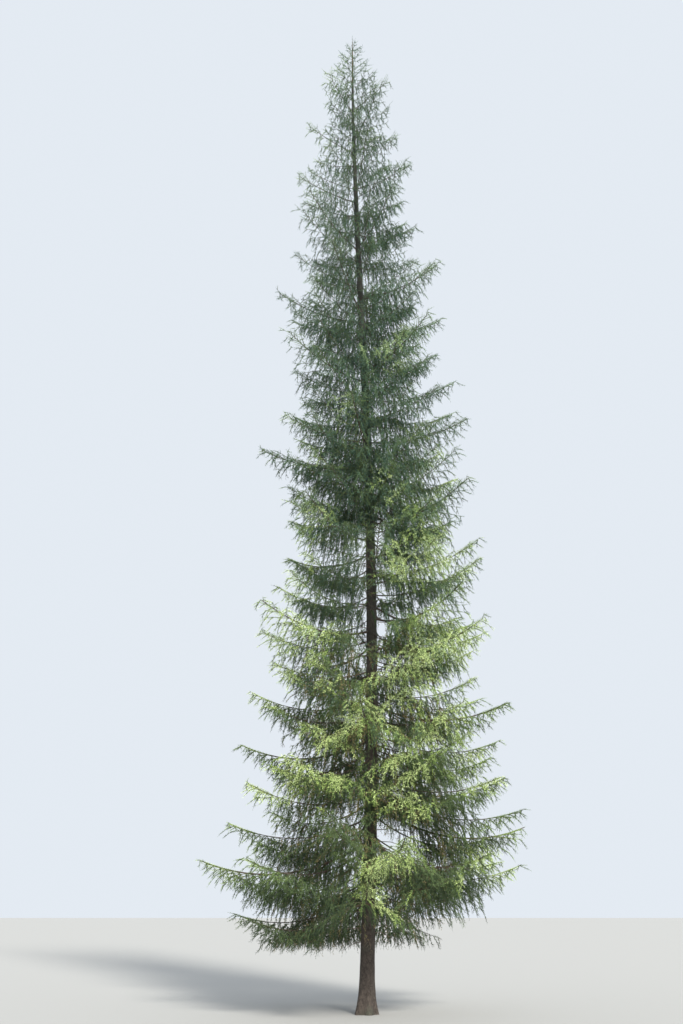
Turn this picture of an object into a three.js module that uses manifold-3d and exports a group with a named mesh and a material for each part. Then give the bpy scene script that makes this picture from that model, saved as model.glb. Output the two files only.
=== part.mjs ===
// A forest-grown Norway spruce: one trunk from a flat cut at ground level, boughs in whorls that sag
// and turn up at their tips, and masses of needle sprays that hang from them like curtains.
// Millimetres, +Z up. The origin is the centre of the cut at ground level. +X is to the viewer's
// right and the viewer stands on the -Y side.
import * as THREE from "three";
import { mergeVertices } from "three/addons/utils/BufferGeometryUtils.js";
import Module from "manifold-3d";

const wasm = await Module();
wasm.setup();

// Trunk
const TREE_HEIGHT = 18400;
const TRUNK_TOP = 17000; // the bark ends here, and the needled leader goes on
const BUTT_RADIUS = 105; // without the root flare
const TIP_RADIUS = 6;
const TAPER_POWER = 0.7;
const FLARE_OUT = 62;
const FLARE_HEIGHT = 240;
const FLARE_LOBES = 5;
const LOBE_DEPTH = 0.4; // share of the flare
const SWAY = 140; // the trunk bows to the right at mid height and to the left above it
const SWAY_HALF_WAVE = 12000;
const TRUNK_SIDES = 12;
const TRUNK_RINGS = 15;
const RING_CROWDING = 1.7; // over 1 sets the rings closer towards the foot

// Crown
const CROWN_FOOT = 2700; // height of the lowest whorl on the trunk
const CROWN_TOP = 17700;
const TOP_WHORL = 16400;
const WHORL_CROWDING = 1.2; // over 1 sets the whorls closer towards the top
const MAX_REACH = 2600;
const TOP_RISE = 0.75; // a bough's tip over its root, as a share of its reach
const RISE_LOSS = 0.87; // from the top of the crown to its foot
const MOST_SAG = 0.13; // dip at half reach, as a share of the reach
const FOLIAGE_FLOOR = 800;
// One row for each whorl from the lowest up: its number of boughs, and its turn in degrees. The
// turns leave the trunk bare to the viewer where the crown is open in front of it.
const WHORLS = [
  [4, 8],
  [4, -10],
  [4, 40],
  [4, 50],
  [4, -4],
  [4, 38],
  [4, -12],
  [4, 42],
  [4, 2],
  [3, 64],
  [3, -14],
];
const BARE_WHORLS = 4; // so many of the lowest whorls have boughs that are bare near the trunk

// Boughs and stems
const LIMB_SHARE = 0.0078; // radius at the root, as a share of the reach
const LIMB_TAPER = 0.78; // share of that radius lost by the tip
const LIMB_CORE = 2; // added to that radius
const BARE_SHARE = 0.3; // of a lower bough, where it enters its mass
const STEM_END = 0.93;
const BOUGH_SIDES = 5;
const BOUGH_STEPS = 3;
const STEM_STEPS = 4;
const STEM_EXTRA = 3; // added to the bough's radius, so that three sides look as thick as round
const BEND = 0.1; // sideways curve, as a share of the reach
const REACH_SPREAD = 0.14;
const SPIRAL = 0.56; // climb of one whorl's boughs around the trunk, as a share of the drop below it
const SPIRAL_START = Math.PI / 2; // the azimuth of its lowest point, behind the trunk
const LIFT_SPREAD = 0.07; // a bough's own lift, as a share of that drop
const AZIMUTH_SPREAD = 0.24; // radians

// Laterals, the side twigs that grow from a stem to its left and right in turn
const TWIG_SIDES = 3;
const FEWEST_LATERALS = 3;
const MOST_LATERALS = 4;
const FIRST_LATERAL = 0.4; // in steps from one lateral to the next
const LATERAL_SHARE = 0.6; // a lateral's length over what is left of the bough past its root
const LATERAL_EXTRA = 60;
const LATERAL_ANGLE = 0.9; // radians from the stem
const ANGLE_SPREAD = 0.2;
const LATERAL_DROP = 0.4; // how much steeper than its bough it falls
const LATERAL_RADIUS = 0.5; // share of the stem's radius there, and what is added to it
const LATERAL_CORE = 2;
const LATERAL_TAPER = 0.3;

// Sprays
const END_SHARE = 0.3; // length of a twig's end spray over the reach, and what is added to it
const END_EXTRA = 240;
const END_SEAT = 0.94; // where on its lateral it is rooted
const END_DROP = 0.25;
const TIP_SEAT = 0.03; // how far the tip's spray is rooted before the stem's end
const HANG_SHARE = 0.68; // length of a hanging spray over the drop to the whorl below
const HANG_SEAT = 0.5; // where on its lateral one is rooted
const HANG_STEP = 0.04; // how far past a lateral one is rooted on the stem
const HANG_OUT = 0.4; // how far it leans outwards, over its drop
const HANG_STRAY = 0.3;
const LENGTH_SPREAD = 0.3;
const CUT_BACK = [1, 0.78, 0.6]; // the shares of its full length that a spray is tried at
const ROLL_STEP = 1; // radians from one try to the next
const SPRAY_WIDTH = 0.52; // share of its length
const SPRAY_THICKNESS = 0.045; // share of its length
const SPRAY_SINK = 3; // how far its root goes past the twig's axis
// Half of a spray's toothed outline, as shares of its length and width.
const SPRAY_OUTLINE = [
  [0, 0],
  [0.24, 0.5],
  [0.4, 0.24],
  [0.66, 0.4],
  [1, 0],
];
const SPRAY_HEART = 0.44; // where its two faces are highest

// Leader
const LEADER_SIDES = 6;
const LEADER_STEM = 0.72; // share of the leader that the stem takes up
const LEADER_TAPER = 0.5;
const TOP_SEAT = 0.7; // where the top shoot is rooted
const LEADER_SHOOTS = 3; // to a whorl
const LEADER_RISE = 0.8;
// Height of each whorl of shoots and the length of its shoots, as shares of the leader.
const LEADER_WHORLS = [
  [0.06, 0.44],
  [0.34, 0.34],
  [0.6, 0.22],
];

// Clearances
const SLIVER = 0.5; // detail smaller than this is left out where solids are fused
const LIMB_GAP = 0.3;
const TRUNK_GAP = 0.4; // at the trunk's corners, which leaves 0.39 at its faces
const MASS_GAP = 6;
const SECTOR_GAP = 14;
const HEADROOM = 0.1; // room over a bough, as a share of its reach, and what is added to it
const HEADROOM_EXTRA = 60;
const WHORL_GAP = 16;
const TRUNK_CLEARANCE = 30;

const UP = new THREE.Vector3(0, 0, 1);
const RIGHT = new THREE.Vector3(1, 0, 0);
const TURN = 2 * Math.PI;
const STEEP = 0.9; // a way that climbs more than this has its level side set out from RIGHT
const WELD = 1e-3;
const NEARBY = 0.01; // share of a curve's length, to find which way it runs

// A stream of numbers from 0 to 1 that is the same for the same seed.
function seeded(seed) {
  let state = seed;
  return () => {
    state = (state + 0x6d2b79f5) | 0;
    let mix = Math.imul(state ^ (state >>> 15), 1 | state);
    mix = (mix + Math.imul(mix ^ (mix >>> 7), 61 | mix)) ^ mix;
    return ((mix ^ (mix >>> 14)) >>> 0) / 2 ** 32;
  };
}

// A number from -1 to 1.
const either = (random) => 2 * random() - 1;

function toSolid(geometry) {
  const bare = new THREE.BufferGeometry().setAttribute("position", geometry.getAttribute("position"));
  if (geometry.index) bare.setIndex(geometry.index);
  const merged = mergeVertices(bare, WELD);
  return new wasm.Manifold(
    new wasm.Mesh({
      numProp: 3,
      vertProperties: merged.attributes.position.array,
      triVerts: new Uint32Array(merged.index.array),
    }),
  );
}

function toGeometry(solid) {
  const { numProp, numVert, vertProperties, triVerts } = solid.getMesh();
  const places = new Float32Array(numVert * 3);
  for (let i = 0; i < numVert; i += 1) {
    places.set(vertProperties.subarray(i * numProp, i * numProp + 3), i * 3);
  }
  const geometry = new THREE.BufferGeometry();
  geometry.setAttribute("position", new THREE.BufferAttribute(places, 3));
  geometry.setIndex(new THREE.BufferAttribute(new Uint32Array(triVerts), 1));
  geometry.computeVertexNormals();
  return geometry;
}

// A closed round limb. place(s, angle) gives the point of its surface at share s of its length.
function shapeCylinder(sides, steps, place) {
  const geometry = new THREE.CylinderGeometry(1, 1, 1, sides, steps);
  const position = geometry.getAttribute("position");
  for (let i = 0; i < position.count; i += 1) {
    const x = position.getX(i);
    const y = -position.getZ(i);
    const point = place(position.getY(i) + 0.5, Math.atan2(y, x), Math.hypot(x, y));
    position.setXYZ(i, point.x, point.y, point.z);
  }
  return toSolid(geometry);
}

// A tapering limb along a curve, level across: its sides are set out from a level line.
function limb(curve, radius, sides, steps) {
  return shapeCylinder(sides, steps, (s, angle, out) => {
    const ahead = curve(s + NEARBY).sub(curve(s - NEARBY)).normalize();
    const across = new THREE.Vector3().crossVectors(ahead, UP).normalize();
    const over = new THREE.Vector3().crossVectors(ahead, across);
    const wide = radius(s) * out;
    return curve(s)
      .addScaledVector(across, wide * Math.cos(angle))
      .addScaledVector(over, wide * Math.sin(angle));
  });
}

function trunkCentre(height) {
  return new THREE.Vector3(SWAY * Math.sin((Math.PI * height) / SWAY_HALF_WAVE), 0, height);
}

function trunkRadius(height) {
  return BUTT_RADIUS * (1 - height / TREE_HEIGHT) ** TAPER_POWER + TIP_RADIUS;
}

// The trunk, wider all round by extra.
function trunkSolid(extra) {
  return shapeCylinder(TRUNK_SIDES, TRUNK_RINGS, (s, angle, out) => {
    const height = TRUNK_TOP * s ** RING_CROWDING;
    const lobes = 1 + LOBE_DEPTH * Math.cos(FLARE_LOBES * angle);
    const flare = FLARE_OUT * Math.exp(-height / FLARE_HEIGHT) * lobes;
    const wide = (trunkRadius(height) + flare + extra) * out;
    return trunkCentre(height).add(new THREE.Vector3(wide * Math.cos(angle), wide * Math.sin(angle), 0));
  });
}

function whorlHeight(index) {
  const share = 1 - (1 - index / (WHORLS.length - 1)) ** WHORL_CROWDING;
  return CROWN_FOOT + (TOP_WHORL - CROWN_FOOT) * share;
}

function whorlAt(index) {
  const height = whorlHeight(index);
  const depth = (CROWN_TOP - height) / (CROWN_TOP - CROWN_FOOT);
  const [boughs, turn] = WHORLS[index];
  return {
    index,
    height,
    boughs,
    turn: THREE.MathUtils.degToRad(turn),
    halfSector: Math.PI / boughs,
    reach: MAX_REACH * Math.sqrt(depth),
    rise: TOP_RISE - RISE_LOSS * depth,
    sag: MOST_SAG * Math.sqrt(depth),
    drop: height - (index ? whorlHeight(index - 1) : FOLIAGE_FLOOR),
    centre: trunkCentre(height),
  };
}

// Height of a bough over its root at share t of its reach.
const climb = (reach, rise, sag, t) => reach * (rise * t - 4 * sag * t * (1 - t));

// One bough of a whorl, with the seeded differences between it and its neighbours.
function boughOf(whorl, number) {
  const random = seeded(100 * whorl.index + number + 1);
  const sector = whorl.turn + (TURN * number) / whorl.boughs;
  const around = THREE.MathUtils.euclideanModulo(sector - SPIRAL_START, TURN) / TURN;
  const azimuth = sector + (AZIMUTH_SPREAD * either(random)) / 2;
  const reach = whorl.reach * (1 - REACH_SPREAD * random());
  const lift = whorl.drop * (SPIRAL * (around - 0.5) + LIFT_SPREAD * either(random));
  const bend = BEND * either(random);
  const forward = new THREE.Vector3(Math.cos(azimuth), Math.sin(azimuth), 0);
  const side = new THREE.Vector3(-forward.y, forward.x, 0);
  const root = trunkCentre(whorl.height + lift);
  const curve = (t) =>
    root
      .clone()
      .addScaledVector(forward, reach * t)
      .addScaledVector(side, reach * bend * t * t)
      .addScaledVector(UP, climb(reach, whorl.rise, whorl.sag, t));
  const radius = (t) => LIMB_SHARE * reach * (1 - LIMB_TAPER * t) + LIMB_CORE;
  const start = whorl.index < BARE_WHORLS ? BARE_SHARE : 0;
  return { whorl, number, sector, lift, reach, forward, side, curve, radius, random, start };
}

// Rows of boughs, one for each whorl from the lowest up.
const rows = WHORLS.map((_, index) => {
  const whorl = whorlAt(index);
  return Array.from({ length: whorl.boughs }, (__, number) => boughOf(whorl, number));
});

// The surface that the foliage of a bough stays under, and that of the boughs above over.
function ceiling({ whorl, lift }, point) {
  const out = Math.hypot(point.x - whorl.centre.x, point.y - whorl.centre.y);
  const over = HEADROOM * whorl.reach + HEADROOM_EXTRA;
  return whorl.height + lift + climb(whorl.reach, whorl.rise, whorl.sag, out / whorl.reach) + over;
}

// The angle between a point, seen from the trunk, and the middle of a bough's sector.
function angleOff({ whorl, sector }, point) {
  const angle = Math.atan2(point.y - whorl.centre.y, point.x - whorl.centre.x) - sector;
  return Math.abs(Math.atan2(Math.sin(angle), Math.cos(angle)));
}

// The height that a point of a bough's foliage stays over.
function floor(bough, point) {
  if (bough.whorl.index === 0) return FOLIAGE_FLOOR;
  const nearer = (best, other) => (angleOff(other, point) < angleOff(best, point) ? other : best);
  const under = rows[bough.whorl.index - 1].reduce(nearer);
  return ceiling(under, point) + WHORL_GAP;
}

// True if a point keeps to the bough's own sector, between its ceiling and the one below.
function inOwnSpace(point, bough) {
  const { whorl } = bough;
  const out = Math.hypot(point.x - whorl.centre.x, point.y - whorl.centre.y);
  const inward = whorl.halfSector - angleOff(bough, point);
  const trunk = trunkCentre(point.z);
  return (
    inward > 0 &&
    out * Math.sin(inward) > SECTOR_GAP &&
    out < whorl.reach &&
    point.z < ceiling(bough, point) &&
    point.z > floor(bough, point) &&
    Math.hypot(point.x - trunk.x, point.y - trunk.y) > trunkRadius(point.z) + TRUNK_CLEARANCE
  );
}

// A toothed blade of needles from root along way, turned by roll. Gives its corners and its solid.
function spray(root, way, roll, length) {
  const ahead = way.clone().normalize();
  const level = new THREE.Vector3().crossVectors(ahead, Math.abs(ahead.z) > STEEP ? RIGHT : UP).normalize();
  const across = level.applyAxisAngle(ahead, roll);
  const over = new THREE.Vector3().crossVectors(ahead, across);
  const at = (along, wide, high) =>
    root
      .clone()
      .addScaledVector(ahead, length * along - SPRAY_SINK)
      .addScaledVector(across, length * SPRAY_WIDTH * wide)
      .addScaledVector(over, length * high);
  const right = SPRAY_OUTLINE.map(([along, wide]) => at(along, wide, 0));
  const left = SPRAY_OUTLINE.slice(1, -1).map(([along, wide]) => at(along, -wide, 0));
  const rim = [...right, ...left.reverse()];
  const faces = [at(SPRAY_HEART, 0, SPRAY_THICKNESS / 2), at(SPRAY_HEART, 0, -SPRAY_THICKNESS / 2)];
  const corners = [...rim, ...faces];
  const index = rim.flatMap((_, i) => {
    const next = (i + 1) % rim.length;
    return [next, i, rim.length, i, next, rim.length + 1];
  });
  const geometry = new THREE.BufferGeometry().setFromPoints(corners);
  geometry.setIndex(index);
  return { corners, solid: toSolid(geometry) };
}

// The bare part of a bough, from the trunk to its mass.
function bareLimb({ curve, radius, start }) {
  return limb((s) => curve(s * start), (s) => radius(s * start), BOUGH_SIDES, BOUGH_STEPS);
}

// The stem that a mass grows on: the rest of its bough.
function stemOf({ curve, radius, start, reach }) {
  const span = (s) => start + (STEM_END - start) * s;
  const gap = start ? LIMB_GAP / reach : 0;
  return limb((s) => curve(span(s) + gap), (s) => radius(span(s)) + STEM_EXTRA, TWIG_SIDES, STEM_STEPS);
}

// A point of the stem's axis. It is straight between its rings, so it isn't on the bough's curve.
function onStem({ curve, start }, t) {
  const step = (STEM_STEPS * (t - start)) / (STEM_END - start);
  const ring = Math.min(Math.floor(step), STEM_STEPS - 1);
  const ringAt = (i) => curve(start + ((STEM_END - start) * i) / STEM_STEPS);
  return ringAt(ring).lerp(ringAt(ring + 1), step - ring);
}

// A lateral on the left or right of the stem at share t of the reach.
function lateralOf(bough, t, hand) {
  const { reach, forward, side, radius, random, whorl } = bough;
  const turn = hand * (LATERAL_ANGLE + ANGLE_SPREAD * either(random));
  const way = forward.clone().multiplyScalar(Math.cos(turn)).addScaledVector(side, Math.sin(turn));
  const length = LATERAL_SHARE * reach * (1 - t) + LATERAL_EXTRA;
  const slope = whorl.rise - LATERAL_DROP;
  const root = onStem(bough, t);
  const end = root.clone().addScaledVector(way, length).addScaledVector(UP, length * slope);
  const line = (s) => root.clone().lerp(end, s);
  const wide = LATERAL_RADIUS * radius(t);
  const solid = limb(line, (s) => wide * (1 - LATERAL_TAPER * s) + LATERAL_CORE, TWIG_SIDES, 1);
  return { way, slope, line, solid };
}

// The sprays and laterals of one bough, fused to its stem.
function massOf(bough) {
  const { reach, forward, random, whorl, start, stem } = bough;
  const twigs = [stem];
  const sprays = [];
  const addSpray = (root, way, full) => {
    const roll = TURN * random();
    const length = full * (1 + LENGTH_SPREAD * (random() - 0.5));
    const tries = CUT_BACK.map((share, i) => spray(root, way, roll + ROLL_STEP * i, length * share));
    const fits = tries.find(
      ({ corners, solid }) =>
        corners.every((corner) => inOwnSpace(corner, bough)) &&
        sprays.every((other) => other.intersect(solid).isEmpty()) &&
        isClear(solid, stem),
    );
    if (fits) sprays.push(fits.solid);
  };
  const addEnd = (root, way) => addSpray(root, way, END_SHARE * reach + END_EXTRA);
  const addHanging = (root, outward) => {
    const stray = new THREE.Vector3(either(random), either(random), 0).multiplyScalar(HANG_STRAY);
    addSpray(root, stray.addScaledVector(outward, HANG_OUT).sub(UP), HANG_SHARE * whorl.drop);
  };
  const laterals = Math.round(FEWEST_LATERALS + ((MOST_LATERALS - FEWEST_LATERALS) * reach) / MAX_REACH);
  for (let i = 0; i < laterals; i += 1) {
    const t = start + ((STEM_END - start) * (i + FIRST_LATERAL)) / laterals;
    const { way, slope, line, solid } = lateralOf(bough, t, i % 2 ? 1 : -1);
    if ([0.5, 1].every((s) => inOwnSpace(line(s), bough)) && isClear(solid, stem)) {
      twigs.push(solid);
      addEnd(line(END_SEAT), way.clone().addScaledVector(UP, slope - END_DROP));
      addHanging(line(HANG_SEAT), way);
    }
    addHanging(onStem(bough, t + HANG_STEP), forward);
  }
  const tip = onStem(bough, STEM_END - TIP_SEAT);
  addEnd(tip, onStem(bough, STEM_END).sub(tip));
  return fuse([...twigs, ...sprays]);
}

// Joins solids and drops the slivers along their seams, and any scrap that touches none of the rest.
function fuse(solids) {
  return largest(solids.reduce((whole, solid) => whole.add(solid)).asOriginal().simplify(SLIVER));
}

function largest(solid) {
  const pieces = solid.decompose();
  return pieces.reduce((best, piece) => (piece.volume() > best.volume() ? piece : best));
}

const bark = new THREE.MeshStandardMaterial({ color: 0x4a3a30, roughness: 0.95, metalness: 0 });
const boughBark = new THREE.MeshStandardMaterial({ color: 0x3f342a, roughness: 0.95, metalness: 0 });
const needles = new THREE.MeshStandardMaterial({ color: 0x2f4a2c, roughness: 0.7, metalness: 0 });

const tree = new THREE.Group();

// Rounding to a mesh's 32 bits can part a hair-thin neck, so the largest piece is picked after it.
function addNode(name, solid, material) {
  const whole = largest(toSolid(toGeometry(solid)));
  const mesh = new THREE.Mesh(toGeometry(whole), material);
  mesh.name = name;
  tree.add(mesh);
}

// What a new twig or spray has to stay clear of: every limb and stem, and the masses so far.
const inPlace = [];

function isClear(solid, ownStem) {
  return inPlace.every((other) => other === ownStem || other.minGap(solid, MASS_GAP) >= MASS_GAP);
}

// The needled leader over the trunk's tip, with the rising shoots of its last whorls.
function leaderSolid() {
  const long = TREE_HEIGHT - TRUNK_TOP;
  const at = (share) => trunkCentre(TRUNK_TOP + LIMB_GAP + long * share);
  const stem = shapeCylinder(LEADER_SIDES, 1, (s, angle, out) => {
    const wide = trunkRadius(TRUNK_TOP) * (1 - LEADER_TAPER * s) * out;
    return at(LEADER_STEM * s).add(new THREE.Vector3(wide * Math.cos(angle), wide * Math.sin(angle), 0));
  });
  const tip = at(TOP_SEAT);
  const solids = [stem, spray(tip, UP, 0, TREE_HEIGHT - tip.z).solid];
  LEADER_WHORLS.forEach(([share, shootShare], tier) => {
    for (let i = 0; i < LEADER_SHOOTS; i += 1) {
      const turn = (TURN * (i + tier / 2)) / LEADER_SHOOTS;
      const way = new THREE.Vector3(Math.cos(turn), Math.sin(turn), LEADER_RISE);
      solids.push(spray(at(share), way, turn, long * shootShare).solid);
    }
  });
  return fuse(solids);
}

const boughs = rows.flat();
const aroundTrunk = trunkSolid(TRUNK_GAP);
const labelOf = ({ whorl, number }) => String(whorl.index + 1).padStart(2, "0") + "_" + (number + 1);

addNode("trunk", trunkSolid(0), bark);
for (const bough of boughs) {
  bough.stem = stemOf(bough);
  inPlace.push(bough.stem);
  if (bough.start > 0) {
    const bare = largest(bareLimb(bough).subtract(aroundTrunk));
    inPlace.push(bare);
    addNode("bough_" + labelOf(bough), bare, boughBark);
  }
}
const leader = leaderSolid();
inPlace.push(leader);
for (const bough of boughs) {
  const mass = largest(massOf(bough).subtract(aroundTrunk));
  inPlace.push(mass);
  addNode("foliage_" + labelOf(bough), mass, needles);
}
addNode("leader", leader, needles);

export default tree;
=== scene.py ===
import math

import bmesh
import bpy
import numpy as np
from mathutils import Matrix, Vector


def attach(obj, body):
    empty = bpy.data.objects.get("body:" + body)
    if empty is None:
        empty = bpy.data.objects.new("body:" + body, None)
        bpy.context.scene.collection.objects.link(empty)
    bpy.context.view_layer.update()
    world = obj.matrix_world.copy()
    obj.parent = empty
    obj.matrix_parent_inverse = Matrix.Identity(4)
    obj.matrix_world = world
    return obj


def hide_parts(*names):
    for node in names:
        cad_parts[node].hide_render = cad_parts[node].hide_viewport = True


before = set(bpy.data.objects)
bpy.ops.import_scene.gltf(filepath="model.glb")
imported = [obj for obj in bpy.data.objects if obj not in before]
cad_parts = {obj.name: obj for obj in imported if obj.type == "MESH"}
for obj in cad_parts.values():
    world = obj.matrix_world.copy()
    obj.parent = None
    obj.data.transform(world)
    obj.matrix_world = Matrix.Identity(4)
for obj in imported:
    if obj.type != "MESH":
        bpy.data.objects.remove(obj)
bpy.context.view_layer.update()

bpy.ops.object.select_all(action="DESELECT")

UP = Vector((0, 0, 1))
TURN = 2 * math.pi

# Seeds of the random numbers. Each mass adds its own number to the two that end in MASS.
SEED_SUNLIT = 909
SEED_LEADER = 77
SEED_LEADER_NEEDLES = 7
SEED_DEAD_TWIGS = 4242
SEED_MASS = 5000
SEED_NEEDLES_MASS = 900
SEED_MASS_STEP = 10  # from the masses of one whorl to those of the next
SEED_BOUGH_STEP = 100  # the same for the main boughs

# Trunk
TREE_HEIGHT = 18.4
TRUNK_TOP = 17.0
BUTT_RADIUS = 0.105
TIP_RADIUS = 0.006
TAPER_POWER = 0.7
FLARE_OUT = 0.062
FLARE_HEIGHT = 0.24
FLARE_LOBES = 5
LOBE_DEPTH = 0.4
SWAY = 0.14
SWAY_HALF_WAVE = 12.0
TRUNK_SIDES = 48
TRUNK_CUTS = (29, 29)  # two rounds of cuts across the trunk, for its rings
RING_CROWDING = 1.35  # over 1 sets the rings closer towards the foot
COLLAR_WIDTH = 0.055
COLLAR_RISE = 0.011
SWELL_SCALE = 0.16
SWELL_RELIEF = 0.006
FLAKE_SCALE = 0.02
FLAKE_RELIEF = 0.005
SHADED_FROM = 3.0  # from this height to the next the trunk's bark turns to a painted shade, dark and a little green
SHADED_FULL = 7.5

# Crown
CROWN_FOOT = 2.7
CROWN_TOP = 17.7
TOP_WHORL = 16.4
WHORL_CROWDING = 1.2
MAX_REACH = 2.6
TOP_RISE = 0.75
RISE_LOSS = 0.87
MOST_SAG = 0.13
FOLIAGE_FLOOR = 0.8
# One row for each whorl from the lowest up: its number of boughs, and its turn in degrees.
WHORLS = (
    (4, 8),
    (4, -10),
    (4, 40),
    (4, 50),
    (4, -4),
    (4, 38),
    (4, -12),
    (4, 42),
    (4, 2),
    (3, 64),
    (3, -14),
)
TOP_INDEX = len(WHORLS) - 1
BARE_WHORLS = 4  # the lowest whorls, whose boughs are bare near the trunk

# Boughs
LIMB_SHARE = 0.0078
LIMB_TAPER = 0.78
LIMB_CORE = 0.002
BEND = 0.1
REACH_SPREAD = 0.14
SPIRAL = 0.56
SPIRAL_START = math.pi / 2
LIFT_SPREAD = 0.07
AZIMUTH_SPREAD = 0.24
LIMB_STEP = 0.04  # from one ring of a main bough to the next
LESSER_LIMB_STEP = 0.09
LEAST_RINGS = 8
LIMB_SIDES = 9
LESSER_LIMB_SIDES = 6
KNOT_SWELL = 0.12  # how much a limb swells and thins along its way
KNOT_WAVE = 37  # radians along a metre of it
KNOT_SHIFT = 9  # radians for each metre that its root is up
LIMB_RELIEF_SCALE = 0.03
LIMB_RELIEF = 0.004
# Lesser boughs fill the room between one whorl and the next. The gap between them grows towards
# the top. The top whorl and the lowest one have their own, as shares of the drop below them.
LESSER_GAP_LOW = 0.19
LESSER_GAP_HIGH = 0.27
LOWEST_LIFTS = (0.14, -0.1, -0.2, -0.3, -0.4, -0.5)
TOP_LIFTS = (-0.25, -0.5, -0.75, 0.25, 0.5, 0.75)
LESSER_TURN = 0.76  # how far they stray from their bough's azimuth, over half of its sector
LESSER_TURN_SHARES = (0.35, 1.0)
LESSER_LIFT_SPREAD = 0.05
LESSER_RISE_SPREAD = 0.1
LESSER_REACH = (0.62, 0.94)
LESSER_THICKNESS = 0.62
LOWEST_ROOT = 1.55  # no lesser bough leaves the trunk lower than this
# Short boughs on the viewer's side screen the trunk between the heights where it shows.
SCREENS = ((1.9, 3.6), (7.7, 11.2))
SCREEN_GAP = 0.24
SCREEN_TURN = 0.32
SCREEN_REACH = (0.35, 0.5)  # shares of the crown's reach

# Laterals, the side twigs of a bough
LATERAL_STEP = 0.095
FEWEST_LATERALS = 4
LATERAL_SHARE = 0.6
LATERAL_EXTRA = 0.1
LATERAL_LENGTHS = (0.75, 1.1)
LATERAL_ANGLE = 0.9
ANGLE_LOSS = 0.18  # of that angle, by the bough's tip
ANGLE_SPREAD = 0.2
LATERAL_DROP = 0.4
TIP_DROP = 0.1  # the same at the bough's tip
LATERAL_BOW = 0.05
# LATERAL_LIGHT, FAN_LIGHT, TIP_LIGHT and HANG_LIGHT raise the painted light of a twig's needles, where
# more light falls on it.
LATERAL_LIGHT = 0.08
LATERAL_RADIUS = 0.4
LATERAL_CORE = 0.001
LATERAL_BARE = 0.45
LATERAL_FLOOR = 1.0  # no lateral ends lower than this
LEAF_START_LOW = 0.2
LEAF_START_HIGH = 0.1
BOUGH_LIGHT_SPREAD = 0.16
FAN_STEP = 0.075  # from one level side shoot of a lateral to the next
FAN_START = 0.3
FAN_LENGTH = 0.15
FAN_LENGTHS = (0.65, 1.15)
FAN_FIRST_SIZE = 1.15
FAN_SIZE_LOSS = 0.5
FAN_AHEAD = 0.72
FAN_ASIDE = (0.55, 0.8)
FAN_RISE_SPREAD = 0.25
FAN_DROP = 0.12
FAN_LIGHT = 0.14
TIP_STEP = 0.034
TIP_START = 0.76
TIP_END = 0.98
TIP_LENGTH = 0.26
TIP_LENGTHS = (0.7, 1.1)
TIP_FIRST_SIZE = 1.25
TIP_WAY = (0.75, 0.66, 0.8)  # forwards, aside and along the bough's slope
TIP_LIGHT = 0.2
BOUGH_END = 0.9  # from this share of its reach on, a bough has needles of its own

# Branchlets, which hang from laterals and boughs
HANG_STEP = 0.088
HANG_LENGTH = 0.44
HANG_BY_REACH = 0.11
HANG_LENGTHS = (0.65, 1.25)
BOUGH_HANG_LENGTHS = (0.6, 1.2)
HANG_LOSS = 0.75  # how much more level they are at the bough's tip
HANG_LEAN = 0.2
LEVEL_LEAN = 0.55
HANG_STRAY = 0.16
HANG_BOW = 0.16
LEVEL_FALL = 0.12  # the drop of a level branchlet over its length
HANGING_FALL = 0.82  # how much more a hanging one drops
SHORTEST_HANG = 0.09
STRAIGHT_HANG = 0.3  # a shorter branchlet is drawn straight
ROOM_USED = 0.5  # least share of the room above the crown's lower edge that a branchlet may take
HANG_RADIUS = 0.0068  # with the feet of its needles
HANG_BARE = 0.06
HANG_FIRST = 0.35  # a branchlet's earliest place in its step, and how far on it may be
HANG_PLACES = 0.5
HANG_WAY = (0.6, 0.55)  # along its lateral and aside
HANG_SHORTER = 0.45  # how much shorter they are at a lateral's tip, and at the bough's
HANG_LEVELLING = 0.35  # how much more level they are at a lateral's tip
HANG_LIGHT = 0.06
BOUGH_HANG_SHORTER = 0.55
BOUGH_HANG_AHEAD = 0.02
HANG_ACROSS = 0.62  # how far across one reaches over its length, and how much farther if level
LEVEL_ACROSS = 0.4
NUDGE = Vector((0.01, 0, 0))  # keeps the way across a branchlet from vanishing
SHOOT_STEP = 0.13
SHOOT_FIRST = 0.55  # steps before the first one
SHOOT_SPARE = 0.3  # how many more steps than shoots a branchlet is divided into
SHOOT_LENGTH = 0.11
SHOOT_LENGTHS = (0.65, 1.25)
SHOOT_LOSS = 0.4  # how much shorter they are at a branchlet's tip
SHOOT_WAY = (0.8, 0.52, 0.14)  # along the branchlet, aside and down
SHOOT_RADIUS = 0.0054
SHORTEST_SHOOT = 0.04
THIN_WITHIN = 0.4  # of a bough's reach, where branchlets are sparser towards the trunk
THIN_MOST = 0.5
THIN_MOST_HIGH = 0.1
THIN_BELOW_WHORL = 4  # the whorls from this one up have the second share
SPREAD_LIMIT = 2.6  # how far from the trunk's foot a shoot may end, seen from above

# Twigs as tubes: the steps and sides of each kind
LATERAL = 1
BRANCHLET = 2
SHOOT = 3
TUBES = {LATERAL: (4, 3), BRANCHLET: (3, 3), SHOOT: (2, 3)}
TWIG_TIP = 0.35  # the tip's share of a twig's radius
STEEP = 0.9  # a line that rises more than this has its rings laid out from X, others from Z
LOOK_AHEAD = 0.1  # share of a line over which its way is measured

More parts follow.
